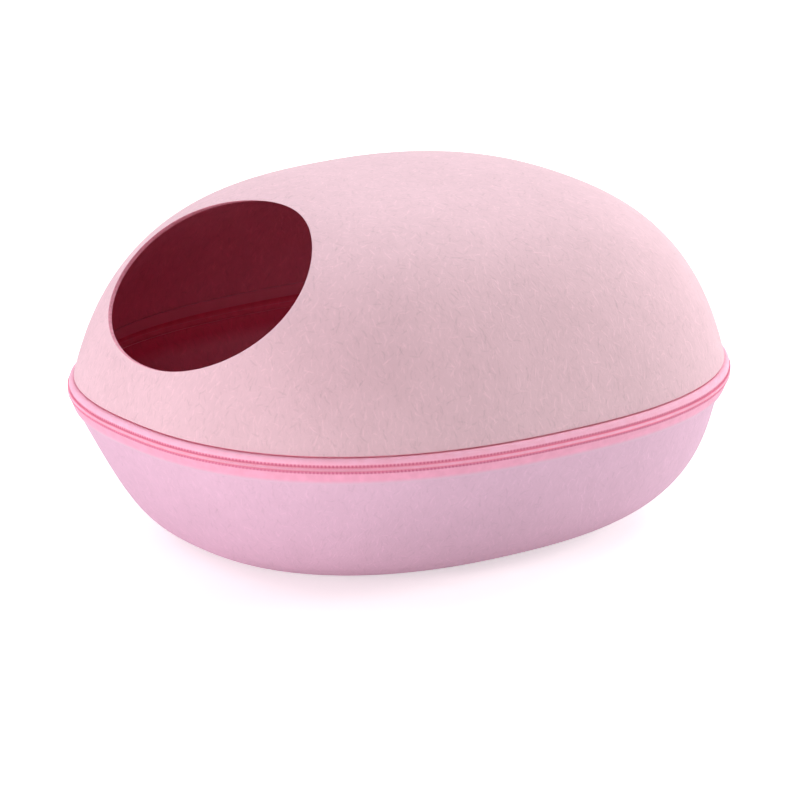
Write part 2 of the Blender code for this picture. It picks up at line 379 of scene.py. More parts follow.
def press_felt(piece, outer, inner, cut, slant=None):
    """Give the shell its thickness, ease its cut edges and lay on its three materials.
    slant(point) is how far the inner face's points move so that a cut runs straight through."""
    for slot in (outer, inner, cut):
        piece.data.materials.append(slot)
    outer_count = len(piece.data.vertices)
    moves = [slant(vertex.co) for vertex in piece.data.vertices] if slant else []
    apply_modifier(
        piece, "SOLIDIFY", thickness=sizes().felt, offset=-1, use_even_offset=True, use_quality_normals=True,
        material_offset=1, material_offset_rim=2)
    for vertex, move in zip(list(piece.data.vertices)[outer_count:], moves):
        vertex.co += move
    apply_modifier(
        piece, "BEVEL", width=0.4 * MM, segments=2, limit_method="ANGLE", angle_limit=math.radians(55))
    only(piece)
    bpy.ops.object.shade_smooth()
    apply_modifier(piece, "WEIGHTED_NORMAL", keep_sharp=True)


def stands_for(piece, node):
    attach(piece, "root")
    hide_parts(node)


# ---- Shader nodes ----

class Shop:
    """Adds and joins nodes in one node tree."""

    def __init__(self, tree):
        self.tree = tree

    def add(self, kind, *values, **settings):
        """A node whose first inputs are the values: sockets are joined and the rest is set."""
        node = self.tree.nodes.new("ShaderNode" + kind)
        for key, value in settings.items():
            setattr(node, key, value)
        for socket, value in zip([s for s in node.inputs if s.enabled], values):
            self.feed(socket, value)
        return node

    def feed(self, socket, value):
        if isinstance(value, bpy.types.NodeSocket):
            self.tree.links.new(value, socket)
        else:
            socket.default_value = value

    def feed_named(self, node, values):
        for key, value in values.items():
            self.feed(node.inputs[key], value)

    def math(self, operation, *values):
        return self.add("Math", *values, operation=operation).outputs[0]

    def vector(self, operation, *values):
        node = self.add("VectorMath", *values, operation=operation)
        return node.outputs["Value" if operation == "DOT_PRODUCT" else "Vector"]

    def scaled(self, vector, factor):
        node = self.add("VectorMath", vector, operation="SCALE")
        self.feed(node.inputs["Scale"], factor)
        return node.outputs["Vector"]

    def ramp(self, value, from_low, from_high, to_low=0.0, to_high=1.0):
        node = self.add(
            "MapRange", value, from_low, from_high, to_low, to_high, interpolation_type="SMOOTHSTEP")
        return node.outputs["Result"]

    def noise(self, vector, scale, detail=2.0, roughness=0.5, name="Fac"):
        node = self.add("TexNoise")
        self.feed_named(node, {"Vector": vector, "Scale": scale, "Detail": detail, "Roughness": roughness})
        return node.outputs[name]

    def mix(self, factor, first, second, blend="MIX"):
        node = self.add("Mix", data_type="RGBA", blend_type=blend)
        self.feed_named(node, {0: factor, 6: first, 7: second})
        return node.outputs[2]

    def group(self, tree, **values):
        node = self.add("Group", node_tree=tree)
        self.feed_named(node, values)
        return node.outputs

    def bump(self, height, strength, distance):
        node = self.add("Bump")
        self.feed_named(node, {"Height": height, "Strength": strength, "Distance": distance})
        return node.outputs["Normal"]


def new_group(name, takes, gives):
    """A node group with named sockets; takes and gives map a name to (socket kind, default)."""
    tree = bpy.data.node_groups.new(name, "ShaderNodeTree")
    for label, (kind, default) in takes.items():
        socket = tree.interface.new_socket(label, in_out="INPUT", socket_type="NodeSocket" + kind)
        if default is not None:
            socket.default_value = default
    for label, kind in gives.items():
        tree.interface.new_socket(label, in_out="OUTPUT", socket_type="NodeSocket" + kind)
    inlet, outlet = tree.nodes.new("NodeGroupInput"), tree.nodes.new("NodeGroupOutput")
    return tree, Shop(tree), inlet.outputs, outlet.inputs


def group_for(name, make):
    return bpy.data.node_groups.get(name) or make(name)


def fibre_layer(name):
    """One layer of short fibres that lie along the surface in random directions."""
    tree, shop, takes, gives = new_group(
        name,
        {"Vector": ("Vector", None), "Spacing": ("Float", 0.005), "Width": ("Float", 0.0006),
         "Upright": ("Float", 1.5), "Seed": ("Float", 0.0)},
        {"Fibre": "Float", "Tone": "Float"})
    per_metre = shop.math("DIVIDE", 1.0, takes["Spacing"])
    spot = shop.scaled(takes["Vector"], per_metre)
    bend = shop.vector("SUBTRACT", shop.noise(spot, 0.9, 1.0, name="Color"), (0.5, 0.5, 0.5))
    spot = shop.vector("ADD", spot, shop.scaled(bend, 0.5))
    shift = shop.add("CombineXYZ", takes["Seed"], takes["Seed"], takes["Seed"]).outputs[0]
    spot = shop.vector("ADD", spot, shift)
    cell = shop.add("TexVoronoi", voronoi_dimensions="3D", feature="F1")
    shop.feed(cell.inputs["Vector"], spot)
    cell.inputs["Scale"].default_value = 1.0
    away = shop.vector("SUBTRACT", spot, cell.outputs["Position"])
    surface = shop.add("NewGeometry").outputs["Normal"]
    lean = shop.vector("SUBTRACT", cell.outputs["Color"], (0.5, 0.5, 0.5))
    lean = shop.vector("MULTIPLY", lean, shop.add("CombineXYZ", 1.0, 1.0, takes["Upright"]).outputs[0])
    across = shop.vector("NORMALIZE", shop.vector("CROSS_PRODUCT", surface, lean))
    along = shop.vector("CROSS_PRODUCT", across, surface)
    beside = shop.math("ABSOLUTE", shop.vector("DOT_PRODUCT", away, across))
    ahead = shop.math("ABSOLUTE", shop.vector("DOT_PRODUCT", away, along))
    half = shop.math("MULTIPLY", takes["Width"], shop.math("MULTIPLY", per_metre, 0.5))
    body = shop.ramp(shop.math("DIVIDE", beside, half), 0.2, 1.5, 1.0, 0.0)
    tips = shop.ramp(ahead, 0.30, 0.62, 1.0, 0.0)
    parts = shop.add("SeparateColor", cell.outputs["Color"])
    mixed = shop.math("ADD", parts.outputs[0], shop.math("ADD", parts.outputs[1], parts.outputs[2]))
    tone = shop.math("FRACT", shop.math("MULTIPLY", mixed, 7.3))
    shop.feed(gives["Fibre"], shop.math("MULTIPLY", body, tips))
    shop.feed(gives["Tone"], tone)
    return tree


def felt_surface(name):
    """Pressed felt: three layers of fibres over a fine grain, with a slow mottle."""
    tree, shop, takes, gives = new_group(
        name, {"Vector": ("Vector", None), "Upright": ("Float", 2.6)},
        {"Fibres": "Float", "Mottle": "Float", "Height": "Float"})
    layer = group_for("Fibre layer", fibre_layer)
    light, height = None, None
    for seed, spacing, width, weight in FIBRE_LAYERS:
        made = shop.group(
            layer, Vector=takes["Vector"], Spacing=spacing, Width=width, Upright=takes["Upright"], Seed=seed)
        signed = shop.math("MULTIPLY_ADD", made["Tone"], 2.0 * weight, -1.0 * weight)
        raised = shop.math("MULTIPLY_ADD", made["Tone"], weight, -0.3 * weight)
        part = shop.math("MULTIPLY", made["Fibre"], signed)
        lift = shop.math("MULTIPLY", made["Fibre"], raised)
        light = part if light is None else shop.math("ADD", light, part)
        height = lift if height is None else shop.math("ADD", height, lift)
    grain = shop.noise(takes["Vector"], 1500.0, 3.0, 0.6)
    fluff = shop.noise(takes["Vector"], 420.0, 2.0, 0.6)
    height = shop.math("ADD", height, shop.math("MULTIPLY", grain, 0.4))
    height = shop.math("ADD", height, shop.math("MULTIPLY", fluff, 0.9))
    slow = shop.noise(takes["Vector"], 22.0, 2.0, 0.5)
    patch = shop.noise(takes["Vector"], 95.0, 2.0, 0.55)
    mottle = shop.math("ADD", shop.math("MULTIPLY", slow, 0.6), shop.math("MULTIPLY", patch, 0.4))
    shop.feed(gives["Fibres"], light)
    shop.feed(gives["Mottle"], mottle)
    shop.feed(gives["Height"], height)
    return tree


def new_material(name):
    material = bpy.data.materials.new(name)
    material.use_nodes = True
    shop = Shop(material.node_tree)
    return material, shop, material.node_tree.nodes["Principled BSDF"].inputs


def rgba(colour_value, factor=1.0):
    return (*(min(1.0, part * factor) for part in colour_value), 1.0)


def set_evenly(shader, values):
    """Set what is the same all over the surface on the shader's own sockets."""
    for name, value in values.items():
        shader[name].default_value = value


def felt(name, base, fibres=0.095, mottle=0.025, bump=0.45, sheen=0.10, rim=None):
    """Matt pressed felt; rim is a second colour, the height where it is full and the height where it ends."""
    material, shop, shader = new_material(name)
    place = shop.add("TexCoord").outputs["Object"]
    made = shop.group(group_for("Felt surface", felt_surface), Vector=place)
    drift = shop.ramp(made["Mottle"], 0.3, 0.7)
    shade = shop.mix(drift, rgba(base, 1 - mottle), rgba(base, 1 + mottle))
    if rim:
        rim_colour, full, end = rim
        height = shop.add("SeparateXYZ", place).outputs[2]
        shade = shop.mix(shop.ramp(height, end, full), shade, rgba(rim_colour))
    lit = shop.math("MULTIPLY_ADD", made["Fibres"], fibres, 1.0)
    grey = shop.add("CombineColor", lit, lit, lit).outputs[0]
    shop.feed(shader["Base Color"], shop.mix(1.0, shade, grey, "MULTIPLY"))
    shop.feed(shader["Normal"], shop.bump(made["Height"], bump, 0.00022))
    set_evenly(shader, {
        "Roughness": 0.95, "Specular IOR Level": 0.25, "Sheen Weight": sheen, "Sheen Roughness": 0.45,
        "Sheen Tint": rgba(base, 1.15)})
    return material


def cut_felt(name, base):
    """The raw cut edge, where loose fibre ends show; it glows a little, a painted light that lifts the shade
    on the cut face.
    """
    material, shop, shader = new_material(name)
    place = shop.add("TexCoord").outputs["Object"]
    ends = shop.noise(place, 1900.0, 3.0, 0.7)
    clumps = shop.noise(place, 380.0, 2.0, 0.5)
    mixed = shop.math("ADD", shop.math("MULTIPLY", ends, 0.6), shop.math("MULTIPLY", clumps, 0.4))
    tone = shop.ramp(mixed, 0.32, 0.68)
    shop.feed(shader["Base Color"], shop.mix(tone, rgba(base, 0.72), rgba(base, 1.05)))
    shop.feed(shader["Normal"], shop.bump(mixed, 0.8, 0.0003))
    # Painted light: the cut face glows a little, to lift the shade on it.
    set_evenly(shader, {
        "Roughness": 1.0, "Specular IOR Level": 0.2, "Emission Color": (1.0, 0.12, 0.22, 1.0),
        "Emission Strength": 0.10})
    return material


def weave(name):
    """Plain woven tape from its own lengthways and crossways measure in metres."""
    tree, shop, takes, gives = new_group(
        name, {"Vector": ("Vector", None), "Thread": ("Float", 0.0006)}, {"Thread": "Float"})
    place = shop.scaled(takes["Vector"], shop.math("DIVIDE", math.pi, takes["Thread"]))
    parts = shop.add("SeparateXYZ", place).outputs
    along = shop.math("SINE", parts[0])
    across = shop.math("SINE", parts[1])
    over = shop.math("MULTIPLY", along, across)
    rib = shop.math("ABSOLUTE", along)
    shop.feed(gives["Thread"], shop.math("MULTIPLY_ADD", over, 0.25, shop.math("MULTIPLY", rib, 0.75)))
    return tree


def tape_cloth(name, base, stripe=None, fade_to=None, fade_from=0.0, fade_over=0.0):
    """Woven tape, darker along the stripe where the coil is sewn on; fade_to is the felt whose fibres cover
    its far edge."""
    material, shop, shader = new_material(name)
    chart = shop.add("UVMap", uv_map="Flat").outputs[0]
    place = shop.add("TexCoord").outputs["Object"]
    made = shop.group(group_for("Weave", weave), Vector=chart, Thread=0.0007)
    worn = shop.noise(place, 160.0, 3.0, 0.6)
    shade = shop.mix(made["Thread"], rgba(base, 0.86), rgba(base, 1.08))
    shade = shop.mix(shop.ramp(worn, 0.35, 0.7, 0.0, 0.35), shade, rgba(base, 1.25))
    along, across, _ = shop.add("SeparateXYZ", chart).outputs
    if stripe:
        start, end = stripe
        sewn = shop.math("MULTIPLY", shop.ramp(across, start - 0.0003, start + 0.0003),
                         shop.ramp(across, end - 0.0003, end + 0.0004, 1.0, 0.0))
        stitch = shop.math("SINE", shop.math("MULTIPLY", along, math.tau / STITCH))
        sewn = shop.math("MULTIPLY", sewn, shop.ramp(stitch, -0.7, 0.1, 0.25, 1.0))
        shade = shop.mix(sewn, shade, (*(part * share for part, share in zip(base, STITCHED)), 1.0))
    if fade_to:
        ragged = shop.math("MULTIPLY_ADD", shop.noise(place, 700.0, 2.0), 0.0016, -0.0008)
        edge = shop.math("ADD", across, ragged)
        shade = shop.mix(shop.ramp(edge, fade_from, fade_from + fade_over), shade, rgba(fade_to))
    shop.feed(shader["Base Color"], shade)
    shop.feed(shader["Normal"], shop.bump(made["Thread"], 0.5, 0.00012))
    set_evenly(shader, {"Roughness": 0.75, "Sheen Weight": 0.15})
    return material


def nylon(name, base, thread, level, crown):
    """Satin nylon wire, with slight changes of shade from turn to turn; it glows a little, a painted light
    that lifts the shade between its turns.
    Further than its crown from the zip's level, up or down, the sewing thread covers its legs."""
    material, shop, shader = new_material(name)
    place = shop.add("TexCoord").outputs["Object"]
    drift = shop.noise(place, 300.0, 2.0)
    shade = shop.mix(shop.ramp(drift, 0.3, 0.7), rgba(base, 0.94), rgba(base, 1.06))
    # Painted light: the coil glows a little in its own pink, to lift the shade between its turns.
    set_evenly(shader, {
        "Specular IOR Level": 0.3, "Emission Color": rgba(base), "Emission Strength": 0.12})
    height = shop.add("SeparateXYZ", place).outputs[2]
    height = shop.math("ABSOLUTE", shop.math("SUBTRACT", height, level))
    sewn = shop.ramp(height, crown - 0.0001, crown + 0.0003)
    shop.feed(shader["Base Color"], shop.mix(sewn, shade, rgba(thread)))
    shop.feed(shader["Roughness"], shop.ramp(shop.noise(place, 900.0, 1.0), 0.2, 0.8, 0.34, 0.48))
    return material


def enamel(name, base):
    """Baked enamel over cast metal, thinner where it is rubbed."""
    material, shop, shader = new_material(name)
    place = shop.add("TexCoord").outputs["Object"]
    speck = shop.noise(place, 700.0, 3.0, 0.6)
    cloud = shop.noise(place, 120.0, 2.0)
    shade = shop.mix(shop.ramp(cloud, 0.35, 0.65), rgba(base, 0.92), rgba(base, 1.1))
    rubbed = shop.math("MULTIPLY", shop.ramp(speck, 0.66, 0.74), 0.5)
    shop.feed(shader["Base Color"], shop.mix(rubbed, shade, (0.75, 0.62, 0.64, 1)))
    shop.feed(shader["Roughness"], shop.ramp(speck, 0.3, 0.8, 0.28, 0.44))
    shop.feed(shader["Normal"], shop.bump(speck, 0.12, 0.0001))
    set_evenly(shader, {"Coat Weight": 0.3, "Coat Roughness": 0.15})
    return material


def finish_for(name, make, *values, **settings):
    return bpy.data.materials.get(name) or make(name, *values, **settings)


# ---- Operators ----

class CATCAVE_OT_dome(bpy.types.Operator):
    """Press the upper shell out of one sheet of felt, with the entrance cut through its front"""
    bl_idname = "cat_cave.dome"
    bl_label = "Upper shell"

    AROUND = 256
    ACROSS = 72
    SLANT_FADE = 30 * MM                # the cut's slant is taken up within this distance

    def execute(self, context):
        form = DomeForm()
        edge, slants = form.entrance(self.AROUND)
        cut_line = KDTree(self.AROUND)
        for number, spot in enumerate(edge):
            cut_line.insert(form.at(spot), number)
        cut_line.balance()
        middle = edge.mean(axis=0)
        rim = np.array([form.rim_beyond(middle, spot) for spot in edge])

        def place(column, row):
            spot = edge[column] + (rim[column] - edge[column]) * (row / self.ACROSS)
            return Vector(form.at(spot))

        def slant(point):
            _, number, distance = cut_line.find(point)
            share = max(0.0, 1 - distance / self.SLANT_FADE)
            return Vector(slants[number]) * share * share * (3 - 2 * share)

        shell = felt_blank("upper_shell", self.AROUND, self.ACROSS, place)
        colours = context.scene.cave_colours
        press_felt(
            shell,
            finish_for("upper felt", felt, colours.dome),
            # the inner faces' deep pink is painted shade
            finish_for("felt inside", felt, colours.inside, **INNER_FACE),
            finish_for("felt, cut", cut_felt, colours.cut), slant)
        stands_for(shell, "dome_felt")
        return {"FINISHED"}


class CATCAVE_OT_bowl(bpy.types.Operator):
    """Press the lower shell, with its flat base"""
    bl_idname = "cat_cave.bowl"
    bl_label = "Lower shell"

    AROUND = 224
    BASE_ROWS = 5
    SIDE_ROWS = 36
    SEAM_ROWS = 2
    RED_FULL, RED_END = 9 * MM, 20 * MM     # below the zip, of the redder band inside

    def execute(self, context):
        size = context.scene.cave_sizes
        rim_reach = size.length / 2 - BOWL_RIM[0] * MM
        squash = (size.width / 2 - BOWL_RIM[0] * MM) / rim_reach
        rim = (rim_reach, size.zip_level + BOWL_RIM[1] * MM)

        def place(column, row):
            angle = np.array([2 * math.pi * column / self.AROUND])
            if row <= self.BASE_ROWS:
                reach = BOWL_BASE_REACH * row / self.BASE_ROWS
                x, y = plan_point(angle, reach * squash, reach)
                return Vector((x[0], y[0], 0))
            past = (row - self.BASE_ROWS - self.SIDE_ROWS) / self.SEAM_ROWS
            if past > 0:
                inset, over = ((low + (high - low) * past) * MM for low, high in zip(BOWL_RIM, BOWL_SEAM))
                x, y = plan_point(angle, size.width / 2 - inset, size.length / 2 - inset)
                return Vector((x[0], y[0], size.zip_level + over))
            handles = side_handles(angle, BOWL_FRONT, BOWL_BACK, (BOWL_BASE_REACH, 0.0), rim)
            reach, height = side_curve(handles, (row - self.BASE_ROWS) / self.SIDE_ROWS)
            x, y = plan_point(angle, reach * squash, reach)
            return Vector((x[0], y[0], height[0]))

        rows = self.BASE_ROWS + self.SIDE_ROWS + self.SEAM_ROWS
        shell = felt_blank("lower_shell", self.AROUND, rows, place)
        colours = context.scene.cave_colours
        press_felt(
            shell,
            finish_for("lower felt", felt, colours.bowl, fibres=0.07, bump=0.5),
            # painted shade: the inner faces take the deep pink that stands in for the shade inside the cave,
            # and under the zip a band of the tape's deep inner pink, also painted shade
            finish_for("lower felt, inside", felt, colours.inside, **INNER_FACE, rim=(
                colours.tape_back, size.zip_level - self.RED_FULL, size.zip_level - self.RED_END)),
            finish_for("felt, cut", cut_felt, colours.cut))
        stands_for(shell, "bowl_felt")
        return {"FINISHED"}


def zip_line():
    """A closed guide curve along the coil's face; the straight zip is bent round it."""
    size = sizes()
    angles = np.linspace(0, 2 * math.pi, ZIP_STEPS + 1)[:-1]
    x, y = plan_point(angles, size.width / 2, size.length / 2)
    guide = bpy.data.curves.new("zip line", "CURVE")
    guide.dimensions = "3D"
    guide.twist_mode = "Z_UP"
    spline = guide.splines.new("POLY")
    spline.points.add(ZIP_STEPS - 1)
    for point, px, py in zip(spline.points, x, y):
        point.co = (px, py, size.zip_level, 1)
    spline.use_cyclic_u = True
    line = bpy.data.objects.new("zip line", guide)
    bpy.context.scene.collection.objects.link(line)
    length = float(np.hypot(np.diff(x, append=x[0]), np.diff(y, append=y[0])).sum())
    return line, length


def bend_round(piece, line):
    """Bend a straight length, whose +Y is inwards and +Z up, round the zip line."""
    apply_modifier(piece, "CURVE", object=line, deform_axis="POS_X")


def widths(folds):
    """How far each fold of a tape is from its first edge, along the tape, in metres."""
    across = [0.0]
    for before, after in zip(folds, folds[1:]):
        across.append(across[-1] + math.dist(before, after) * MM)
    return across


def woven_tape(name, folds, line, length, outer, inner):
    """Weave the tape flat, fold its edges and bend it round."""
    across = widths(folds)
    deselect_all()
    bpy.ops.mesh.primitive_grid_add(x_subdivisions=ZIP_STEPS, y_subdivisions=len(folds) - 1, size=1)
    tape = start_piece(name)
    chart = tape.data.uv_layers.active
    chart.name = "Flat"
    rows = [round((vertex.co.y + 0.5) * (len(folds) - 1)) for vertex in tape.data.vertices]
    for corner in tape.data.loops:
        x = (tape.data.vertices[corner.vertex_index].co.x + 0.5) * length
        chart.data[corner.index].uv = (x, across[rows[corner.vertex_index]])
    for vertex, row in zip(tape.data.vertices, rows):
        inset, height = folds[row]
        vertex.co = ((vertex.co.x + 0.5) * length, inset * MM, height * MM)
    bend_round(tape, line)
    merge_and_face_out(tape, 2e-5)
    turn_shell_outwards(tape)
    for slot in (outer, inner):
        tape.data.materials.append(slot)
    apply_modifier(
        tape, "SOLIDIFY", thickness=bpy.context.scene.zip_sizes.tape, offset=-1, use_even_offset=True,
        use_quality_normals=True, material_offset=1)
    smooth(tape, 50)
    return tape


class CATCAVE_OT_tapes(bpy.types.Operator):
    """Fold the two woven tapes and bend them round the zip line"""
    bl_idname = "cat_cave.tapes"
    bl_label = "Zip tapes"

    SEWN = (1.1 * MM, 3.1 * MM)         # the stitched stripe, from the tape's edge behind the coil
    FELTED = 4.5 * MM                   # of the lower tape's far edge, covered by loose felt fibres
    BACK_FADE = 9 * MM                  # the upper tape's inner face is felted over past this
    BACK_BLEND = 2 * MM                 # and wholly so after this much more

    def execute(self, context):
        line, length = zip_line()
        colours = context.scene.cave_colours
        felted_from = widths(LOWER_TAPE_FOLDS)[-1] - self.FELTED
        # Painted light and shade: the upper tape's paler pink lifts the shade under the dome's edge, and the
        # tapes' deep pink inner faces stand in for the shade inside the cave.
        upper = (
            finish_for("zip tape, upper", tape_cloth, colours.tape_painted_paler, stripe=self.SEWN),
            finish_for("zip tape, upper inside", tape_cloth, colours.tape_back, fade_to=colours.inside,
                       fade_from=self.BACK_FADE, fade_over=self.BACK_BLEND))
        lower = (
            finish_for("zip tape, lower", tape_cloth, colours.tape, stripe=self.SEWN, fade_to=colours.bowl,
                       fade_from=felted_from, fade_over=self.FELTED),
            finish_for("zip tape, lower inside", tape_cloth, colours.tape_back))
        for name, node, folds, faces, shell in (
                ("upper_tape", "zip_tape_upper", UPPER_TAPE_FOLDS, upper, "dome_felt"),
                ("lower_tape", "zip_tape_lower", LOWER_TAPE_FOLDS, lower, "bowl_felt")):
            tape = woven_tape(name, folds, line, length, *faces)
            width = widths(folds)[-1]
            stands_for(tape, node)
        bpy.data.objects.remove(line)
        return {"FINISHED"}


def coil_turn(name, wire):
    """One turn of the coil, open side up: down the outer leg, round the head and up the inner leg."""
    head_gap = 0.7 * MM                 # between the middles of the two legs
    leg = 1.9 * MM
    flat = 0.65                         # the wire is pressed flatter in the zip's depth
    deep = wire / 2 * flat
    deselect_all()
    bpy.ops.mesh.primitive_circle_add(
        vertices=6, radius=wire / 2, fill_type="NGON", location=(0, deep, leg))
    turn = start_piece(name)
    apply_place(turn)
    edit_faces(turn)
    bpy.ops.transform.resize(value=(1, flat, 1), center_override=(0, deep, leg))
    bpy.ops.mesh.extrude_region_move(TRANSFORM_OT_translate={"value": (0, 0, -leg + head_gap / 2)})
    bpy.ops.mesh.spin(
        steps=4, angle=math.pi, center=(0, deep + head_gap / 2, head_gap / 2), axis=(-1, 0, 0))
    bpy.ops.mesh.extrude_region_move(TRANSFORM_OT_translate={"value": (0, 0, leg - head_gap / 2)})
    bpy.ops.object.mode_set(mode="OBJECT")
    return turn


class CATCAVE_OT_coils(bpy.types.Operator):
    """Wind the two halves of the coil and close them on each other"""
    bl_idname = "cat_cave.coils"
    bl_label = "Zip coil"

    CROWN = 0.9 * MM                    # half the height of the ridge between the two rows of stitches

    def execute(self, context):
        size = context.scene.zip_sizes
        line, length = zip_line()
        count = round(length / size.pitch)
        pitch = length / count
        colours = context.scene.cave_colours
        slot = finish_for("zip coil", nylon, colours.coil, colours.thread, sizes().zip_level, self.CROWN)
        for name, node, upside_down, start in (
                ("upper_coil", "zip_coil_upper", False, 0.25), ("lower_coil", "zip_coil_lower", True, 0.75)):
            coil = coil_turn(name, size.wire)
            edit_all(coil)
            if upside_down:
                bpy.ops.transform.resize(value=(1, 1, -1), center_override=(0, 0, 0))
            bpy.ops.transform.translate(value=(pitch * start, 0, 0))
            bpy.ops.object.mode_set(mode="OBJECT")
            merge_and_face_out(coil)
            apply_modifier(
                coil, "ARRAY", fit_type="FIXED_COUNT", count=count, use_relative_offset=False,
                use_constant_offset=True, constant_offset_displace=(pitch, 0, 0))
            bend_round(coil, line)
            coil.data.materials.append(slot)
            smooth(coil, 65)
            stands_for(coil, node)
        bpy.data.objects.remove(line)
        return {"FINISHED"}


def slider_place():
    """Turns the slider's own frame, X along the zip, Y outwards and Z up, to its place on the coil's face."""
    size = sizes()
    angle = bpy.context.scene.zip_sizes.slider_angle
    x, y = plan_point(np.array((angle, angle + math.radians(1))), size.width / 2, size.length / 2)
    here, beside = (Vector((px, py, size.zip_level)) for px, py in zip(x, y))
    along = (here - beside).normalized()
    up = Vector((0, 0, 1))
    return Matrix.Translation(here) @ Matrix((along, up.cross(along), up)).transposed().to_4x4()


def block(name, low, high, ease):
    """A block between two corners with eased edges."""
    low, high = Vector(low), Vector(high)
    deselect_all()
    bpy.ops.mesh.primitive_cube_add(size=1, location=(low + high) / 2, scale=high - low)
    made = start_piece(name)
    apply_place(made)
    apply_modifier(made, "BEVEL", width=ease, segments=3, limit_method="NONE")
    return made


def disc(name, sides, radius, depth, place):
    """A round plate whose flat faces look outwards and inwards."""
    deselect_all()
    bpy.ops.mesh.primitive_cylinder_add(
        vertices=sides, radius=radius, depth=depth, location=place, rotation=(math.pi / 2, 0, 0))
    made = start_piece(name)
    apply_place(made)
    return made


def join(name, pieces):
    """Unite closed pieces into one solid."""
    first, *others = pieces
    for other in others:
        apply_modifier(first, "BOOLEAN", operation="UNION", solver="EXACT", object=other)
        bpy.data.objects.remove(other)
    first.name = first.data.name = name
    return first


def put_on_zip(piece, slot):
    piece.data.transform(slider_place())
    piece.data.materials.append(slot)
    smooth(piece, 35)


class CATCAVE_OT_slider(bpy.types.Operator):
    """Cast the slider and hang its pull from the bridge"""
    bl_idname = "cat_cave.slider"
    bl_label = "Slider and pull"

    PLATE_GAP = 0.4 * MM                # from the coil's face to the plate
    PLATE = 1.2 * MM
    TAPER = 0.22                        # of the plate's height, at the end that closes the zip
    FLANGE = 0.8 * MM
    FLANGE_DEPTH = 0.9 * MM             # inwards from the plate
    FLANGE_LENGTH = 0.98                # of the plate's length
    SINK = 0.3 * MM                     # of the flanges and the bridge into the plate
    BRIDGE_RISE = 3.2 * MM
    BRIDGE_WIDTH = 1.6 * MM
    BRIDGE_THICK = 0.8 * MM
    BRIDGE_LENGTH = 6.0 * MM
    EYE_WIRE = 0.55 * MM                # half its thickness
    EYE_PLAY = 0.35 * MM
    TAG = 0.6 * MM                      # half its thickness
    SHOULDER = 0.62                     # of the tag's width, where it meets the eye
    HOLE = 1.35 * MM                    # radius

    def body(self, size):
        length, height = size.slider_length / 2, size.slider_height / 2
        face = self.PLATE_GAP + self.PLATE
        base = face - self.SINK
        plate = block("plate", (-length, self.PLATE_GAP, -height), (length, face, height), 0.35 * MM)
        for vertex in plate.data.vertices:
            if vertex.co.x < 0:
                vertex.co.z *= 1 - self.TAPER * (vertex.co.x / length) ** 2
        reach = length * self.FLANGE_LENGTH
        inner, outer = self.PLATE_GAP - self.FLANGE_DEPTH, self.PLATE_GAP + self.SINK
        flanges = [
            block("flange", (-reach, inner, low), (reach, outer, high), 0.2 * MM)
            for low, high in ((height - self.FLANGE, height), (-height, self.FLANGE - height))]
        foot = self.BRIDGE_THICK / 2 - self.BRIDGE_LENGTH / 2
        deselect_all()
        bpy.ops.mesh.primitive_circle_add(
            vertices=12, radius=self.BRIDGE_WIDTH / 2, fill_type="NGON", location=(foot, base, 0),
            rotation=(math.pi / 2, 0, 0))
        bridge = start_piece("bridge")
        apply_place(bridge)
        edit_faces(bridge)
        bpy.ops.transform.resize(
            value=(self.BRIDGE_THICK / self.BRIDGE_WIDTH, 1, 1), center_override=(foot, 0, 0))
        bpy.ops.mesh.spin(steps=14, angle=math.pi, center=(0, base, 0), axis=(0, 0, -1))
        bpy.ops.object.mode_set(mode="OBJECT")
        depth = base - min(vertex.co.y for vertex in bridge.data.vertices)
        stretch = (self.BRIDGE_RISE + self.SINK) / depth
        for vertex in bridge.data.vertices:         # the half ring was spun inwards, so it is turned out
            vertex.co.y = base + (base - vertex.co.y) * stretch
        merge_and_face_out(bridge)
        return join("slider", [plate, *flanges, bridge])

    def pull(self, size):
        middle = self.PLATE_GAP + self.PLATE + self.BRIDGE_RISE - self.BRIDGE_THICK / 2
        eye_radius = math.hypot(self.BRIDGE_THICK, self.BRIDGE_WIDTH) / 2 + self.EYE_PLAY + self.EYE_WIRE
        deselect_all()
        bpy.ops.mesh.primitive_torus_add(
            location=(0, middle, 0), rotation=(0, math.pi / 2, 0), major_segments=32, minor_segments=12,
            major_radius=eye_radius, minor_radius=self.EYE_WIRE)
        eye = start_piece("eye")
        apply_place(eye)
        top = -eye_radius + self.EYE_WIRE / 2
        width = size.pull_width / 2
        round_end = top - size.pull_length + width
        tag = disc("tag", 48, width, 2 * self.TAG, (0, middle, round_end))
        for vertex in tag.data.vertices:            # stretch the round plate up to a narrow shoulder
            share = (vertex.co.z - round_end) / width
            if share > 0:
                vertex.co.z = round_end + share * (top - round_end)
                vertex.co.x *= 1 - (1 - self.SHOULDER) * share
        apply_modifier(
            tag, "BEVEL", width=0.25 * MM, segments=3, limit_method="ANGLE", angle_limit=math.radians(50))
        hole = disc("hole", 32, self.HOLE, 6 * self.TAG, (0, middle, round_end))
        apply_modifier(tag, "BOOLEAN", operation="DIFFERENCE", solver="EXACT", object=hole)
        bpy.data.objects.remove(hole)
        return join("pull", [tag, eye])

    def execute(self, context):
        size = context.scene.zip_sizes
        slot = finish_for("slider enamel", enamel, context.scene.cave_colours.metal)
        for made, node in ((self.body(size), "zip_slider"), (self.pull(size), "zip_pull")):
            put_on_zip(made, slot)
            stands_for(made, node)
        return {"FINISHED"}


def towards(azimuth, elevation):
    """The direction out to a light or the camera; azimuth 0 is in front and 90 degrees to the right."""
    level = math.cos(elevation)
    return Vector((math.sin(azimuth) * level, -math.cos(azimuth) * level, math.sin(elevation)))


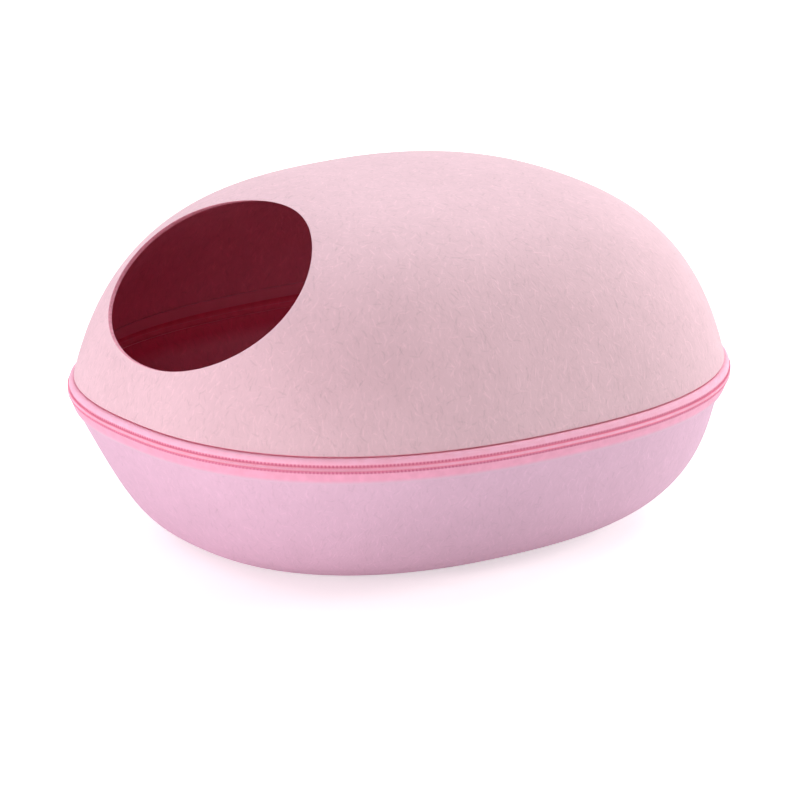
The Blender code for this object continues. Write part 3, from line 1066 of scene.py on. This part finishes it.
class CATCAVE_OT_stage(bpy.types.Operator):
    """Lay the pale floor, hang the soft lights and set up the camera"""
    bl_idname = "cat_cave.stage"
    bl_label = "Floor, light and camera"

    AZIMUTH = math.radians(53.27)
    ELEVATION = math.radians(17.01)
    ROLL = math.radians(0.37)
    DISTANCE = 5.03
    LENS = 323.6                        # in mm, on a sensor 36 mm wide
    AIM_RIGHT, AIM_UP = -0.0005, -0.0180    # from the middle of the zip
    FLOOR_GLOW = 0.15
    FLOOR_LIFT = 0.36                   # seen only by the camera
    SKY_GLOW = 0.15
    ROSY = (1.0, 0.87, 0.90)
    WARM = (0.98, 0.98, 0.96)
    COOL = (0.92, 1.0, 1.0)
    LILAC = (0.84, 0.94, 1.0)
    LIGHTS = (                          # strength, azimuth, elevation and softness in degrees, colour
        ("low front light", 2.16, 0, 5, 26, ROSY),
        ("high front light", 0.60, -50, 55, 50, LILAC),
        ("low back light", 1.88, 162, 18, 28, WARM),
        ("high back light", 2.24, 203, 51, 50, COOL),
        ("left light", 0.56, 290, 45, 50, LILAC),
        ("fill light", 0.33, 30, 20, 40, ROSY),
    )

    def floor(self, colour_value):
        deselect_all()
        bpy.ops.mesh.primitive_plane_add(size=60, location=(0, 0, 0))
        floor = start_piece("floor")
        material, shop, shader = new_material("floor")
        set_evenly(shader, {
            "Base Color": rgba(colour_value), "Roughness": 0.9, "Emission Color": (1, 1, 1, 1)})
        seen = shop.add("LightPath").outputs["Is Camera Ray"]       # lifts the shadow, and lights nothing
        shop.feed(shader["Emission Strength"],
                  shop.math("MULTIPLY_ADD", seen, self.FLOOR_LIFT, self.FLOOR_GLOW * colour_value[0]))
        floor.data.materials.append(material)
        floor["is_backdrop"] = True

    def sky(self):
        """A dim rosy glow all round, which shows as the white of a studio wall."""
        world = bpy.data.worlds.new("studio")
        world.use_nodes = True
        shop, nodes = Shop(world.node_tree), world.node_tree.nodes
        glow = nodes["Background"]
        set_evenly(glow.inputs, {"Color": rgba(self.ROSY), "Strength": self.SKY_GLOW})
        wall = shop.add("Background", (1, 1, 1, 1))
        seen = shop.add("LightPath").outputs["Is Camera Ray"]
        either = shop.add("MixShader", seen, glow.outputs[0], wall.outputs[0])
        shop.feed(nodes["World Output"].inputs["Surface"], either.outputs[0])
        return world

    def light(self, name, strength, azimuth, elevation, softness, tint):
        lamp = bpy.data.lights.new(name, "SUN")
        lamp.energy = strength
        lamp.angle = math.radians(softness)
        lamp.color = tint
        item = bpy.data.objects.new(name, lamp)
        source = towards(math.radians(azimuth), math.radians(elevation))
        item.rotation_euler = source.to_track_quat("Z", "Y").to_euler()
        bpy.context.scene.collection.objects.link(item)

    def camera(self, middle):
        back = towards(self.AZIMUTH, self.ELEVATION)
        level = Vector((math.cos(self.AZIMUTH), math.sin(self.AZIMUTH), 0))
        upright = back.cross(level)
        right = level * math.cos(self.ROLL) + upright * math.sin(self.ROLL)
        up = back.cross(right)
        seat = middle + back * self.DISTANCE
        sight = (seat - (middle + right * self.AIM_RIGHT + up * self.AIM_UP)).normalized()
        right = up.cross(sight).normalized()
        up = sight.cross(right)
        lens = bpy.data.cameras.new("camera")
        lens.sensor_width = 36
        lens.lens = self.LENS
        lens.clip_end = 100
        camera = bpy.data.objects.new("camera", lens)
        camera.matrix_world = Matrix.Translation(seat) @ Matrix((right, up, sight)).transposed().to_4x4()
        bpy.context.scene.collection.objects.link(camera)
        bpy.context.scene.camera = camera

    def execute(self, context):
        scene = context.scene
        self.floor(scene.cave_colours.floor)
        scene.world = self.sky()
        for lamp in self.LIGHTS:
            self.light(*lamp)
        self.camera(Vector((0, 0, scene.cave_sizes.zip_level)))
        scene.view_settings.view_transform = "Standard"
        return {"FINISHED"}


class CATCAVE_PT_panel(bpy.types.Panel):
    """Sizes, colours and the steps that build the cave"""
    bl_idname = "CATCAVE_PT_panel"
    bl_label = "Felt cat cave"
    bl_space_type = "VIEW_3D"
    bl_region_type = "UI"
    bl_category = "Cat cave"

    def draw(self, context):
        scene = context.scene
        for group in (scene.cave_sizes, scene.zip_sizes, scene.cave_colours):
            box = self.layout.box()
            for name in group.bl_rna.properties.keys():
                if name not in ("rna_type", "name"):
                    box.prop(group, name)
        for step in STEPS:
            self.layout.operator(step.bl_idname)


STEPS = (
    CATCAVE_OT_stage, CATCAVE_OT_bowl, CATCAVE_OT_dome, CATCAVE_OT_tapes, CATCAVE_OT_coils, CATCAVE_OT_slider)
GROUPS = {"cave_sizes": CaveSizes, "zip_sizes": ZipSizes, "cave_colours": CaveColours}


def register():
    for kind in (*GROUPS.values(), *STEPS, CATCAVE_PT_panel):
        bpy.utils.register_class(kind)
    for name, kind in GROUPS.items():
        setattr(bpy.types.Scene, name, PointerProperty(type=kind))


def unregister():
    for name in GROUPS:
        delattr(bpy.types.Scene, name)
    for kind in reversed((*GROUPS.values(), *STEPS, CATCAVE_PT_panel)):
        bpy.utils.unregister_class(kind)


def main():
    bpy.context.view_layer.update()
    register()
    bpy.ops.cat_cave.stage()
    bpy.ops.cat_cave.bowl()
    bpy.ops.cat_cave.dome()
    bpy.ops.cat_cave.tapes()
    bpy.ops.cat_cave.coils()
    bpy.ops.cat_cave.slider()


if __name__ == "__main__":
    main()
